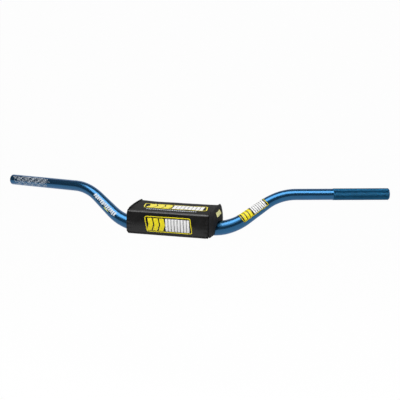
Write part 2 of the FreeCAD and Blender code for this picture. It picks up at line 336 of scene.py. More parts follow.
def soft_edges(piece, degrees=40.0):
    """Smooth shading that stays sharp across real edges."""
    bm = bmesh.new()
    bm.from_mesh(piece.data)
    for edge in bm.edges:
        if len(edge.link_faces) == 2 and edge.calc_face_angle(0) > math.radians(degrees):
            edge.smooth = False
    bm.to_mesh(piece.data)
    bm.free()


def slabs(place, grids, high, low):
    """Closed thin solids over grids of (u, v): a face at high, one at low, and the rim between."""
    points, faces = [], []
    for grid in grids:
        nu, nv = grid.shape[:2]
        base = len(points)
        count = nu * nv
        for lift in (high, low):
            points += [place(u, v, lift) for u, v in grid.reshape(-1, 2)]
        ring = np.allclose(grid[0], grid[-1])
        last = nu - 1

        def at(i, j, layer):
            if ring and i == last:
                i = 0
            return base + layer * count + i * nv + j

        for i in range(nu - 1):
            for j in range(nv - 1):
                faces.append((at(i, j, 0), at(i + 1, j, 0), at(i + 1, j + 1, 0), at(i, j + 1, 0)))
                faces.append((at(i, j, 1), at(i, j + 1, 1), at(i + 1, j + 1, 1), at(i + 1, j, 1)))
            for j in (0, nv - 1):
                faces.append((at(i, j, 0), at(i + 1, j, 0), at(i + 1, j, 1), at(i, j, 1)))
        if not ring:
            for i in (0, last):
                for j in range(nv - 1):
                    faces.append((at(i, j, 0), at(i, j + 1, 0), at(i, j + 1, 1), at(i, j, 1)))
    return points, faces


def quad(a, b, c, d, step):
    """Grid over the four corners, its cells about one step wide."""
    a, b, c, d = (np.array(p, float) for p in (a, b, c, d))
    nu = max(2, int(max(np.linalg.norm(b - a), np.linalg.norm(c - d)) / step) + 1)
    nv = max(2, int(max(np.linalg.norm(d - a), np.linalg.norm(c - b)) / step) + 1)
    u = np.linspace(0, 1, nu)[:, None, None]
    v = np.linspace(0, 1, nv)[None, :, None]
    return a * (1 - u) * (1 - v) + b * u * (1 - v) + c * u * v + d * (1 - u) * v


def sheet_faces(rows, columns):
    """Faces of a closed sheet whose points come as an outer and an inner layer of rows."""
    layer = rows * columns
    faces = []
    for base in (0, layer):
        for i in range(rows - 1):
            for j in range(columns - 1):
                a = base + i * columns + j
                faces.append((a, a + 1, a + columns + 1, a + columns))
    border = list(range(columns))
    border += [i * columns + columns - 1 for i in range(1, rows)]
    border += [(rows - 1) * columns + j for j in range(columns - 2, -1, -1)]
    border += [i * columns for i in range(rows - 2, 0, -1)]
    for a, b in zip(border, border[1:] + border[:1]):
        faces.append((a, b, b + layer, a + layer))
    return faces


def left_of(v):
    return np.array([-v[1], v[0]])


def inset_corners(corners, inset):
    """A polygon's corners moved in by the inset."""
    middle = sum(corners) / len(corners)
    moved = []
    for k, here in enumerate(corners):
        into = unit(here - corners[k - 1])
        out = unit(corners[(k + 1) % len(corners)] - here)
        na, nb = left_of(into), left_of(out)
        if na.dot(middle - here) < 0:
            na, nb = -na, -nb
        m = unit(na + nb)
        moved.append(here + m * inset / m.dot(na))
    return moved


def rounded_loop(corners, radius, parts=5):
    """Points round a polygon whose corners are turned with the radius."""
    loop = []
    for k, here in enumerate(corners):
        into = unit(here - corners[k - 1])
        out = unit(corners[(k + 1) % len(corners)] - here)
        turn = math.acos(max(-1, min(1, into.dot(out))))
        back = radius * math.tan(turn / 2)
        side = left_of(into)
        if side.dot(out) < 0:
            side = -side
        centre = here - into * back + side * radius
        for t in range(parts + 1):
            angle = turn * t / parts
            loop.append(centre + radius * (math.sin(angle) * into - math.cos(angle) * side))
    return loop


def frame_ring(corners, width, radius, step, stretch=(1.0, 1.0)):
    """Grid of a thin frame round a polygon with rounded corners. stretch turns (u, v) into lengths."""
    scale = np.array(stretch)
    polygon = [np.array(c, float) * scale for c in corners]
    outer = rounded_loop(polygon, radius)
    inner = rounded_loop(inset_corners(polygon, width), max(radius - width, 0.3))
    rows = []
    for k in range(len(outer)):
        after = (k + 1) % len(outer)
        parts = max(1, int(np.linalg.norm(outer[after] - outer[k]) / step))
        for t in range(parts):
            f = t / parts
            rows.append((outer[k] * (1 - f) + outer[after] * f, inner[k] * (1 - f) + inner[after] * f))
    rows.append(rows[0])
    return np.array(rows) / scale


# Materials

def new_material(name):
    material = bpy.data.materials.new(name)
    material.use_nodes = True
    return material, material.node_tree, material.node_tree.nodes["Principled BSDF"]


def add(tree, kind, values=None, **settings):
    node = tree.nodes.new(kind)
    for key, value in settings.items():
        setattr(node, key, value)
    for key, value in (values or {}).items():
        node.inputs[key].default_value = value
    return node


def object_noise(tree, scale, detail=2.0, rough=0.5, stretch=(1, 1, 1)):
    where = add(tree, "ShaderNodeTexCoord")
    turn = add(tree, "ShaderNodeMapping", {"Scale": stretch})
    grain = add(tree, "ShaderNodeTexNoise", {"Scale": scale, "Detail": detail, "Roughness": rough})
    tree.links.new(where.outputs["Object"], turn.inputs["Vector"])
    tree.links.new(turn.outputs["Vector"], grain.inputs["Vector"])
    return grain


def blend_colour(tree, factor, low, high, target):
    ramp = add(tree, "ShaderNodeValToRGB")
    ramp.color_ramp.elements[0].position = 0.3
    ramp.color_ramp.elements[1].position = 0.7
    ramp.color_ramp.elements[0].color = (*low, 1)
    ramp.color_ramp.elements[1].color = (*high, 1)
    tree.links.new(factor, ramp.inputs["Fac"])
    tree.links.new(ramp.outputs["Color"], target)


def blend_value(tree, factor, low, high, target):
    span = add(tree, "ShaderNodeMapRange", {"From Min": 0.3, "From Max": 0.7, "To Min": low, "To Max": high})
    tree.links.new(factor, span.inputs["Value"])
    tree.links.new(span.outputs["Result"], target)


def bump(tree, height, target, strength, distance, before=None):
    node = add(tree, "ShaderNodeBump", {"Strength": strength, "Distance": distance})
    tree.links.new(height, node.inputs["Height"])
    if before is not None:
        tree.links.new(before.outputs["Normal"], node.inputs["Normal"])
    tree.links.new(node.outputs["Normal"], target)
    return node


def anodised(name, low, high, rough_low, rough_high, coat):
    material, tree, shader = new_material(name)
    shader.inputs["Metallic"].default_value = 1.0
    shader.inputs["Coat Weight"].default_value = coat
    shader.inputs["Coat Roughness"].default_value = 0.2
    shader.inputs["Coat IOR"].default_value = 1.5
    shader.inputs["Specular Tint"].default_value = (0.25, 0.5, 0.7, 1)
    cloud = object_noise(tree, 55.0, 3.0)
    blend_colour(tree, cloud.outputs["Fac"], low, high, shader.inputs["Base Color"])
    fine = object_noise(tree, 900.0, 3.0, 0.6)
    blend_value(tree, fine.outputs["Fac"], rough_low, rough_high, shader.inputs["Roughness"])
    bump(tree, fine.outputs["Fac"], shader.inputs["Normal"], 0.015, 0.0001)
    return material


def vinyl(name, low, high, rough, grain, depth, shine=0.3):
    material, tree, shader = new_material(name)
    cloud = object_noise(tree, 70.0, 4.0, 0.6)
    blend_colour(tree, cloud.outputs["Fac"], low, high, shader.inputs["Base Color"])
    blend_value(tree, cloud.outputs["Fac"], rough - 0.05, rough + 0.06, shader.inputs["Roughness"])
    shader.inputs["Specular IOR Level"].default_value = shine
    where = add(tree, "ShaderNodeTexCoord")
    cells = add(tree, "ShaderNodeTexVoronoi", {"Scale": grain}, feature="DISTANCE_TO_EDGE")
    tree.links.new(where.outputs["Object"], cells.inputs["Vector"])
    first = bump(tree, cells.outputs["Distance"], shader.inputs["Normal"], 0.5, depth)
    fine = object_noise(tree, grain * 2.5, 3.0, 0.6)
    bump(tree, fine.outputs["Fac"], shader.inputs["Normal"], 0.25, depth, first)
    return material


def painted_fold_highlight(material):
    """Paints a highlight into a vinyl: a pale grey colour and a glossier finish where the mesh's point
    attribute for it says so.
    """
    tree = material.node_tree
    shader = tree.nodes["Principled BSDF"]
    painted_highlight = add(tree, "ShaderNodeAttribute", attribute_name="painted_highlight")
    # Places of a mix node's two inputs and its result differ between its kinds
    for socket, kind, highlight, (first, second, result) in (
        ("Base Color", "RGBA", (0.18, 0.18, 0.185, 1), (6, 7, 2)),
        ("Roughness", "FLOAT", 0.3, (2, 3, 0)),
    ):
        unlit = shader.inputs[socket].links[0].from_socket
        mix = add(tree, "ShaderNodeMix", data_type=kind)
        tree.links.new(painted_highlight.outputs["Fac"], mix.inputs[0])
        tree.links.new(unlit, mix.inputs[first])
        mix.inputs[second].default_value = highlight
        tree.links.new(mix.outputs[result], shader.inputs[socket])


def ink(name, colour, rough=0.4):
    material, tree, shader = new_material(name)
    low = tuple(c * 0.93 for c in colour)
    cloud = object_noise(tree, 600.0, 3.0)
    blend_colour(tree, cloud.outputs["Fac"], low, colour, shader.inputs["Base Color"])
    blend_value(tree, cloud.outputs["Fac"], rough - 0.04, rough + 0.05, shader.inputs["Roughness"])
    shader.inputs["Specular IOR Level"].default_value = 0.3
    bump(tree, cloud.outputs["Fac"], shader.inputs["Normal"], 0.12, 0.00005)
    return material


def weave(name, low, high, pitch, depth, rough=0.85):
    """Woven cloth: two sets of fine bands at right angles."""
    material, tree, shader = new_material(name)
    where = add(tree, "ShaderNodeTexCoord")
    bands = []
    for direction in ("X", "Y"):
        band = add(tree, "ShaderNodeTexWave", {
            "Scale": 1.0 / pitch / math.pi,
            "Distortion": 0.6,
            "Detail": 1.0,
        })
        band.wave_type = "BANDS"
        band.bands_direction = direction
        tree.links.new(where.outputs["Object"], band.inputs["Vector"])
        bands.append(band)
    both = add(tree, "ShaderNodeMath", operation="MULTIPLY")
    tree.links.new(bands[0].outputs["Fac"], both.inputs[0])
    tree.links.new(bands[1].outputs["Fac"], both.inputs[1])
    blend_colour(tree, both.outputs["Value"], low, high, shader.inputs["Base Color"])
    shader.inputs["Roughness"].default_value = rough
    shader.inputs["Specular IOR Level"].default_value = 0.25
    bump(tree, both.outputs["Value"], shader.inputs["Normal"], 0.6, depth)
    return material


BLUE = anodised("blue anodised", (0.0018, 0.084, 0.200), (0.0024, 0.096, 0.230), 0.23, 0.29, coat=0.7)
# The knurled seat's copy of the anodised blue, darker in green and blue: painted shade for the knurl's
# self-shading
SHADED_KNURL_BLUE = anodised("knurled anodised", (0.005, 0.072, 0.155), (0.006, 0.084, 0.180), 0.36, 0.44, coat=0.2)
FILM = vinyl("decal film", (0.006, 0.006, 0.006), (0.010, 0.010, 0.010),
             rough=0.3, grain=3000.0, depth=0.00002)
COVER_VINYL = vinyl("cover vinyl", (0.0026, 0.0024, 0.0025), (0.0042, 0.0039, 0.0040),
                    rough=0.27, grain=1300.0, depth=0.00006, shine=0.44)
# Painted highlight along the cover's fold between flap and top
painted_fold_highlight(COVER_VINYL)
# Copy of the cover vinyl for the top face, matt and painted lighter: painted light on the top
PAINTED_LIT_TOP_VINYL = vinyl("top vinyl", (0.0040, 0.0036, 0.0034), (0.0065, 0.0060, 0.0057),
                  rough=0.58, grain=1300.0, depth=0.0001, shine=0.07)
WELT_VINYL = vinyl("welt vinyl", (0.0025, 0.0024, 0.0024), (0.0042, 0.0040, 0.0040),
                   rough=0.55, grain=1500.0, depth=0.0001, shine=0.12)
# Copy of the cover's black vinyl for the ends, matt and several times lighter: painted light on the ends
PAINTED_LIT_END_VINYL = vinyl("end vinyl", (0.0130, 0.0126, 0.0128), (0.0190, 0.0185, 0.0187),
                  rough=0.65, grain=1300.0, depth=0.0001, shine=0.07)
FOAM = vinyl("foam", (0.020, 0.020, 0.021), (0.034, 0.034, 0.036), rough=0.9, grain=700.0, depth=0.0004)
LINING = weave("lining cloth", (0.008, 0.008, 0.009), (0.020, 0.020, 0.022), pitch=0.0006, depth=0.0002)
TAPE = weave("closure tape", (0.006, 0.006, 0.006), (0.016, 0.016, 0.016), pitch=0.0012, depth=0.0006)
WEBBING = weave("strap webbing", (0.008, 0.008, 0.008), (0.024, 0.024, 0.024), pitch=0.0016, depth=0.0005)
THREAD = ink("thread", (0.012, 0.012, 0.012), rough=0.6)
YELLOW = ink("yellow ink", (0.68, 0.58, 0.012))
PALE_YELLOW = ink("pale yellow ink", (0.84, 0.82, 0.34))
WHITE = ink("white ink", (0.68, 0.68, 0.68))
SILVER = ink("silver ink", (0.48, 0.52, 0.56))
GREEN = ink("green ink", (0.42, 0.48, 0.10))


# The tube stays as the solid is, with its knurled seat laid over its raised band

KNURL_POINTS = 84
KNURL_HIGH = 0.50
KNURL_LOW = 0.15
KNURL_EDGE = 0.1


def give(node, material):
    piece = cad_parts[node]
    piece.data.materials.clear()
    piece.data.materials.append(material)
    return piece


give("handlebar_tube", BLUE)
give("riser_decal", FILM)


def knurled_seat():
    """Fine diamond points cut round the glued grip's seat."""
    begin = TUBE_END - KNURL_LENGTH + 0.7
    end = TUBE_END - 1.5
    pitch = 2 * math.pi * (GRIP_RADIUS + KNURL_LOW) / KNURL_POINTS
    rows = int((end - begin) / pitch)
    place = on_tube(1)
    points, faces = [], []
    for i in range(rows + 1):
        s = begin + (end - begin) * i / rows
        for j in range(KNURL_POINTS):
            lift = KNURL_HIGH if (i + j) % 2 else KNURL_LOW
            if i in (0, rows):
                lift = KNURL_EDGE
            points.append(place(s, 360.0 * j / KNURL_POINTS, lift))
    for i in range(rows):
        here, beyond = i * KNURL_POINTS, (i + 1) * KNURL_POINTS
        for j in range(KNURL_POINTS):
            k = (j + 1) % KNURL_POINTS
            a, b, c, d = here + j, here + k, beyond + k, beyond + j
            if (i + j) % 2:
                faces += [(a, b, d), (b, c, d)]
            else:
                faces += [(a, b, c), (a, c, d)]
    return new_piece("knurled_seat", points, faces, SHADED_KNURL_BLUE, smooth=False)


knurled_seat()


# The pad's cover: flap, top and back in one sheet

NARROWING = 5.0                     # length over which the cover narrows from the flap to the top
CORNER_CUT = 4.5
face = on_cover()


def spread(low, high, step, spots, reach, fine):
    """Numbers from low to high about one step apart, closer together round the spots."""
    values = [low]
    while values[-1] < high - 1e-9:
        near = any(abs(values[-1] - spot) < reach for spot in spots)
        values.append(min(values[-1] + (fine if near else step), high))
    return np.array(values)


def stitch_dimple(x, s):
    """Shallow groove along the flap's row of stitches."""
    if s > FLAP_TOP - 2:
        return 0.0
    edge = min(abs(s - STITCH_INSET), abs(abs(x) - (HALF_PAD - STITCH_INSET)))
    if s < STITCH_INSET - 0.6 or abs(x) > HALF_PAD - STITCH_INSET + 0.6:
        edge = max(edge, 0.6)
    return -DIMPLE_DEPTH * math.exp(-(edge / DIMPLE_REACH) ** 2)


def flap_edge(x):
    """The flap's half width on the side of x. It is narrower on the rider's left."""
    return FLAP_NEAR_EDGE if x > 0 else HALF_PAD


def half_width(length, share):
    """The cover's half width at a length along it."""
    flap = flap_edge(share)
    if length < FLAP_TOP:
        return flap
    return flap - (flap - FOAM_HALF) * min((length - FLAP_TOP) / NARROWING, 1.0)


def cover_point(x, length, depth):
    """Place in the cover, with the flap's lower corners cut and its row of stitches sunk in."""
    if length < CORNER_CUT:
        clip = CORNER_CUT - length
        x = math.copysign(min(abs(x), flap_edge(x) - clip * 0.9), x)
    return face(x, length, stitch_dimple(x, length) - depth)


def fold_highlight_strength(length, share):
    """How strong the painted highlight on the fold between flap and top is, from 0 to 1. It is strongest on
    the rider's left.
    """
    along = 0.16 + 0.72 * (0.5 + 0.5 * share) ** 4
    patch = 0.75 + 0.5 * ripple(share * 80, 0, 9.0, 7.7)
    highlight = along * patch * math.exp(-((length - FOLD) / FOLD_REACH) ** 2)
    return min(max(highlight, 0.0), 1.0)


def cover_shell():
    """The cover, its cells finer along the stitches and over the front and back folds."""
    stitch = (HALF_PAD - STITCH_INSET) / HALF_PAD
    shares = spread(-1.0, 1.0, CELL / FOAM_HALF, (-stitch, stitch), 2.0 / FOAM_HALF, 0.5 / FOAM_HALF)
    front_fold, back_fold = FLAP_TOP + 4.5, FLAP_TOP + 95
    lengths = spread(0.0, COVER.length, CELL, (STITCH_INSET, front_fold, back_fold), 4.0, 0.6)
    rows, columns = len(lengths), len(shares)
    points = []
    for depth in (0.0, COVER_THICKNESS):
        for length in lengths:
            for share in shares:
                points.append(cover_point(share * half_width(length, share), length, depth))
    faces = sheet_faces(rows, columns)
    piece = new_piece("cover_shell", points, faces, COVER_VINYL, replaces=["pad_cover"])
    soft_edges(piece)
    piece.data.materials.append(PAINTED_LIT_TOP_VINYL)
    # Strength of the painted highlight along the fold, one value per point
    painted_highlight = piece.data.attributes.new("painted_highlight", "FLOAT", "POINT")
    for i, length in enumerate(lengths):
        for j, share in enumerate(shares):
            painted_highlight.data[i * columns + j].value = fold_highlight_strength(length, share)
    # Faces past the fold take the top's vinyl, which is painted lighter
    for polygon in piece.data.polygons:
        lowest = min(lengths[(v % (rows * columns)) // columns] for v in polygon.vertices)
        polygon.material_index = 1 if lowest > FOLD + FOLD_REACH else 0
    rim = piece.modifiers.new("rim", "BEVEL")
    rim.width = 0.0006
    rim.segments = 2
    rim.limit_method = "ANGLE"
    rim.angle_limit = math.radians(50)
    return piece


cover_shell()


# The sewn ends and their raised welts

END_THICKNESS = 1.6
SLOT_SETBACK = 5.0                  # distance past the seam at which the tube crosses the end's slot
SLOT_LIP = 0.6
WELT_START = 62.0
WELT_TAIL = 10.0
WELT_STATIONS = 150
END_PATH = Outline(
    [(-44.0, -PAD_DROP, 0), (-LINING_FACE, -PAD_DROP, 9.0), (-LINING_FACE, 38.2, 2.5)]
    + crown(-PAD_FRONT, PAD_BACK, FRONT_HEIGHT, BACK_HEIGHT)
    + [(PAD_BACK, BACK_HEIGHT, BACK_RADIUS), (PAD_BACK, -PAD_DROP, FOOT_RADIUS), (28.0, -PAD_DROP, 0)]
)


def end_point(side, share, depth, out=0.0):
    """Place on an end's outer face: share runs round from the foot's front to its back, depth from
    the slot to the seam."""
    radius = CLAMP_RADIUS + SLOT_GAP
    x = HALF_PAD + SLOT_SETBACK
    centre, _ = tube_axis(x)
    drop = centre[2] + side * math.sin(CANT) * x
    low = math.asin((-PAD_DROP - drop) / radius)
    angle = low + (math.pi - 2 * low) * share
    inner = np.array([centre[1] - radius * math.cos(angle), drop + radius * math.sin(angle)])
    y, z, _, _ = END_PATH.at(share * END_PATH.length)
    outer = np.array([y, z])
    p = inner * (1 - depth) + outer * depth
    bulge = end_bulge(p[0], p[1])
    lip = SLOT_LIP * math.exp(-np.linalg.norm(p - inner) / 2.5) if depth < 0.5 else 0.0
    fold = 0.25 * ripple(p[0], p[1], 11, 3.3 + side)
    fold += 0.10 * ripple(p[0], p[1], 4, 6.1 + side)
    seam = 1 - math.exp(-(1 - depth) * 8)
    x = HALF_PAD + bulge - lip + (fold - 0.4 * (1 - seam)) * seam + out
    return side * x, p[0], p[1]


def end_shell(side, name, node):
    shares = np.linspace(0, 1, 150)
    depths = np.linspace(0, 1, 26)
    points = []
    for back in (0.0, -END_THICKNESS):
        for share in shares:
            for depth in depths:
                points.append(canted(*end_point(side, share, depth, back)))
    faces = sheet_faces(len(shares), len(depths))
    piece = new_piece(name, points, faces, PAINTED_LIT_END_VINYL, replaces=[node])
    soft_edges(piece)
    return piece


def welt(side, name, node):
    """Folded seam allowance that stands up along the top and back of an end."""
    stop = END_PATH.length - WELT_TAIL
    last = WELT_STATIONS - 1
    profile = [(-0.1, -1.0), (0.0, 0.9), (0.35, 1.55), (0.95, 1.8), (1.55, 1.6), (1.95, 0.95), (2.1, -1.0)]
    m = len(profile)
    points, faces = [], []
    for i in range(WELT_STATIONS):
        length = WELT_START + (stop - WELT_START) * i / last
        y, z, ny, nz = END_PATH.at(length)
        taper = min(1.0, i / 4.0, (last - i) / 4.0)
        wave = 0.11 * math.sin(2 * math.pi * length / 5.2) + 0.25 * ripple(length, side * 7.0, 9.0, 2.2)
        for inward, height in profile:
            h = -1.0 + (height + 1.0) * (0.35 + 0.65 * taper)
            x = HALF_PAD + end_bulge(y, z) * SEAM_SHARE + 0.15 - inward + wave * 0.4
            points.append(canted(side * x, y + ny * h, z + nz * h))
    for i in range(last):
        for j in range(m):
            a, b = i * m + j, i * m + (j + 1) % m
            faces.append((a, b, b + m, a + m))
    faces.append(tuple(range(m)))
    faces.append(tuple(range(last * m, last * m + m))[::-1])
    piece = new_piece(name, points, faces, WELT_VINYL, replaces=[node])
    smooth = piece.modifiers.new("round", "SUBSURF")
    smooth.levels = 1
    smooth.render_levels = 1
    return piece


for side, end_name in ((1, "left"), (-1, "right")):
    end_shell(side, "end_shell_" + end_name, "end_panel_" + end_name)
    welt(side, "welt_" + end_name, "seam_welt_" + end_name)


# Foam, from the solid's own form, softened as a cut block is

FOAM_BULGE_START = 62
FOAM_BULGE_RUN = 18
FOAM_SINK = 0.55


def eased_copy(node, name, voxel):
    """Copy of a solid with an even mesh and eased edges."""
    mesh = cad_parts[node].data.copy()
    piece = bpy.data.objects.new(name, mesh)
    bpy.context.scene.collection.objects.link(piece)
    weld = piece.modifiers.new("weld", "WELD")
    weld.merge_threshold = 0.00001
    remesh = piece.modifiers.new("cells", "REMESH")
    remesh.mode = "VOXEL"
    remesh.voxel_size = voxel
    soften = piece.modifiers.new("soften", "SMOOTH")
    soften.factor = 0.5
    soften.iterations = 3
    bpy.context.view_layer.update()
    ready = piece.evaluated_get(bpy.context.evaluated_depsgraph_get())
    made = bpy.data.meshes.new_from_object(ready)
    piece.modifiers.clear()
    piece.data = made
    return piece


def foam_block():
    piece = eased_copy("pad_foam", "foam_block", 0.0016)
    made = piece.data
    made.materials.clear()
    made.materials.append(FOAM)
    for vertex in made.vertices:
        p = vertex.co * 1000
        n = vertex.normal
        sink = -FOAM_SINK + 0.16 * noise.noise(p / 2.2) + 0.2 * noise.noise(p / 14)
        vertex.co += n * sink * 0.001
        if abs(p.x) > FOAM_BULGE_START:
            share = min((abs(p.x) - FOAM_BULGE_START) / FOAM_BULGE_RUN, 1.0) ** 2
            vertex.co.x += math.copysign(end_bulge(p.y, p.z) * share * 0.00085, p.x)
            vertex.co.x += (stretched(p.x) - p.x) * 0.001
    made.shade_smooth()
    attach(piece, "root")
    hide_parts("pad_foam")
    return piece


foam_block()


# Front closure and strap, whose half widths and ranges are those of the solids

def panel(name, node, half, y, z, material, rough, step=CELL):
    """Thin upright cloth panel with a slightly uneven face."""
    def place(u, v, lift):
        wave = ripple(u, v, 9, 4.4) + 0.5 * ripple(u, v, 1.7, 8.8)
        return canted(u, lift + rough * wave, v)
    grid = quad((-half, z[0]), (half, z[0]), (half, z[1]), (-half, z[1]), step)
    points, faces = slabs(place, [grid], y[0], y[1])
    piece = new_piece(name, points, faces, material, replaces=[node])
    soft_edges(piece)
    return piece


TAPE_HEIGHTS = (0.1, 24.9)
panel("lining_panel", "front_lining", 80.3, (-56.75, -55.7), (-7.9, 31.4), LINING, 0.05)
panel("hook_strip", "flap_hook_tape", 73, (-58.95, -57.95), TAPE_HEIGHTS, TAPE, 0.07, 1.2)
panel("loop_strip", "lining_loop_tape", 73, (-57.85, -56.85), TAPE_HEIGHTS, TAPE, 0.07, 1.2)


def flat_patch(name, node, half, y, z):
    """Flat piece of closure tape under the pad."""
    def place(u, v, lift):
        return canted(u, v, lift + 0.06 * ripple(u, v, 1.6, 2.6))
    grid = quad((-half, y[0]), (half, y[0]), (half, y[1]), (-half, y[1]), 1.0)
    points, faces = slabs(place, [grid], z[1], z[0])
    piece = new_piece(name, points, faces, TAPE, replaces=[node])
    soft_edges(piece)
    return piece


PATCH_Y = (-42.0, -31.2)
flat_patch("strap_loop_patch", "strap_loop_tape", 19, PATCH_Y, (-8.95, -8.05))
flat_patch("strap_hook_patch", "strap_hook_tape", 19, PATCH_Y, (-9.95, -9.05))

STRAP_HALF = 19.8
STRAP_LOW = -CLAMP_RADIUS - 3.0
STRAP_FLAT = 7.15
STRAP_BEND = 6
RIB_PITCH = 2.0
RIB_DEPTH = 0.10


def strap_web():
    """Webbing strap, ribbed along its length, with its bends eased."""
    path = Outline([
        (-42.9, -10.0, 0),
        (-30.0, -10.0, STRAP_BEND),
        (-STRAP_FLAT, STRAP_LOW, STRAP_BEND),
        (STRAP_FLAT, STRAP_LOW, STRAP_BEND),
        (24.0, -8.0, STRAP_BEND),
        (29.0, -8.0, 0),
    ])

    def place(x, s, lift):
        y, z, ny, nz = path.at(s)
        rib = RIB_DEPTH * math.cos(2 * math.pi * x / RIB_PITCH) * (1 - (x / 20.0) ** 8)
        out = lift + (rib if lift > -0.6 else -rib)
        return canted(x, y + ny * out, z + nz * out)

    xs = np.linspace(-STRAP_HALF, STRAP_HALF, 81)
    ss = np.linspace(0, path.length, 60)
    grid = np.stack(np.meshgrid(xs, ss, indexing="ij"), -1)
    points, faces = slabs(place, [grid], -0.08, -1.1)
    piece = new_piece("strap_web", points, faces, WEBBING, replaces=["bottom_strap"])
    soft_edges(piece, 60)
    return piece


strap_web()


# Stitches

STITCH_LENGTH = 2.6
STITCH_GAP = 0.9
THREAD_RADIUS = 0.24
THREAD_SIDES = 6
THREAD_SHAPE = [(0.0, 0.02), (0.12, 0.75), (0.5, 1.0), (0.88, 0.75), (1.0, 0.02)]


def stitches(name, place, runs):
    """Thread segments along runs of (start, end) in the place's own (u, v)."""
    points, faces = [], []
    sides = THREAD_SIDES
    for start, end in runs:
        start, end = np.array(start, float), np.array(end, float)
        total = np.linalg.norm(end - start)
        along = (end - start) / total
        count = int(total / (STITCH_LENGTH + STITCH_GAP))
        for k in range(count):
            at = start + along * (k + 0.5) * total / count
            base = len(points)
            step = along * STITCH_LENGTH
            centres = [place(*(at + step * (share - 0.5)), 0.08) for share, _ in THREAD_SHAPE]
            out = unit(place(*at, 1.0) - place(*at, 0.0))
            heading = unit(centres[-1] - centres[0])
            across = np.cross(out, heading)
            for centre, (_, scale) in zip(centres, THREAD_SHAPE):
                for t in range(sides):
                    a = 2 * math.pi * t / sides
                    round_it = math.cos(a) * out * 0.8 + math.sin(a) * across
                    points.append(centre + THREAD_RADIUS * scale * round_it)
            for r in range(len(THREAD_SHAPE) - 1):
                for t in range(sides):
                    a, b = base + r * sides + t, base + r * sides + (t + 1) % sides
                    faces.append((a, b, b + sides, a + sides))
            faces.append(tuple(base + t for t in range(sides))[::-1])
            faces.append(tuple(base + (len(THREAD_SHAPE) - 1) * sides + t for t in range(sides)))
    return new_piece(name, points, faces, THREAD)


flap_x = HALF_PAD - STITCH_INSET
flap_end = FLAP_TOP - 3
stitches("flap_stitches", on_cover(-0.2), [
    ((-flap_x, STITCH_INSET), (flap_x, STITCH_INSET)),
    ((-flap_x, STITCH_INSET), (-flap_x, flap_end)),
    ((flap_x, STITCH_INSET), (flap_x, flap_end)),
])
top_x = 77.2
top_begin = FLAP_TOP + 8
top_end = COVER.length - 22
stitches("top_stitches", face, [
    ((-top_x, top_begin), (-top_x, top_end)),
    ((top_x, top_begin), (top_x, top_end)),
])


# Printed shapes: generic bars and arrowheads

def bar(x, low, high, width, slant, step):
    """Leaning bar: x at its foot, low and high its ends, slant how far its top moves over."""
    return quad((x, low), (x + width, low), (x + width + slant, high), (x + slant, high), step)


def bars(count, x, pitch, low, high, width, slant, step):
    """Row of leaning bars, the first at x."""
    return [bar(x + pitch * k, low, high, width, slant, step) for k in range(count)]


def arrows(x, pitch, low, high, width, point, step):
    """Row of three arrowheads, each of two leaning bars."""
    middle = (low + high) / 2
    grids = []
    for k in range(3):
        foot = x + pitch * k
        near, far = (foot + point, middle), (foot + width + point, middle)
        grids.append(quad((foot, low), (foot + width, low), far, near, step))
        grids.append(quad(near, far, (foot + width, high), (foot, high), step))
    return grids


def prints(name, place, grids, material, high=0.2, low=-0.25):
    """Thin solids of ink over the grids, their faces at high and low."""
    points, faces = slabs(place, grids, high, low)
    piece = new_piece(name, points, faces, material)
    soft_edges(piece)
    return piece


def up_front(z):
    """Length up the front face at a height in the pad's frame."""
    return z - FLAP_FOOT


def over(y):
    """Length over the top at a place y from front to back."""
    mask = (COVER.s > TOP_START) & (COVER.p[:, 1] > 30)
    return float(np.interp(y, COVER.p[mask, 0], COVER.s[mask]))


def front_prints():
    corners = [
        (-41.5, up_front(-0.7)), (51.0, up_front(-0.6)),
        (45.5, up_front(30.0)), (-47.5, up_front(29.8)),
    ]
    low, high = up_front(2.0), up_front(26.2)
    border = frame_ring(corners, width=1.5, radius=4.0, step=CELL)
    heads = arrows(-41.2, 11.9, low, high, width=9.3, point=3.4, step=CELL)
    prints("flap_print_yellow", face, [border] + heads, YELLOW)
    strokes = bars(8, -3.0, 6.15, low, high, width=4.9, slant=-1.6, step=CELL)
    prints("flap_print_white", face, strokes, WHITE)


def top_prints():
    front, back = over(-31.5), over(1.5)
    low, high = over(-28.8), over(-1.2)
    corners = [(-59.5, front), (70.3, front), (64.3, back), (-66.0, back)]
    border = frame_ring(corners, width=2.0, radius=5.0, step=2.0)
    heads = arrows(-55.0, 16.3, low, high, width=14.0, point=4.4, step=2.0)
    prints("top_print_yellow", face, [border] + heads, YELLOW)
    strokes = bars(8, -1.5, 7.9, low, high, width=6.8, slant=-1.8, step=2.0)
    prints("top_print_white", face, strokes, WHITE)
    row = bars(24, -50.0, 4.3, over(-43.5), over(-39.5), width=2.6, slant=0.6, step=2.0)
    prints("top_print_row", face, row, SILVER)


def on_end(side):
    """Places (y, z, lift) on an end's face."""
    def place(y, z, lift):
        return canted(side * (HALF_PAD + end_bulge(y, z) + lift), y, z)
    return place


def end_badges():
    badge = quad((10.5, 38.0), (15.5, 30.0), (-10.0, 26.0), (-15.5, 35.0), 1.5)
    for side, end_name in ((1, "left"), (-1, "right")):
        prints("end_badge_" + end_name, on_end(side), [badge], PALE_YELLOW, high=0.45, low=-0.6)


DECAL_LIFT = 0.25                 # by how much the decal stands off the tube
DECAL_LEAN = 2.05
DECAL_LEAN_ANGLE = 40.5
DECAL_START = 137.4
DECAL_STOP = 195.6


def on_decal(s, angle, lift):
    """Place on the riser's decal, whose ends lean."""
    lean = DECAL_LEAN * math.sin(math.radians(angle + DECAL_LEAN_ANGLE))
    return on_tube(1, DECAL_LIFT)(s + lean, angle, lift)


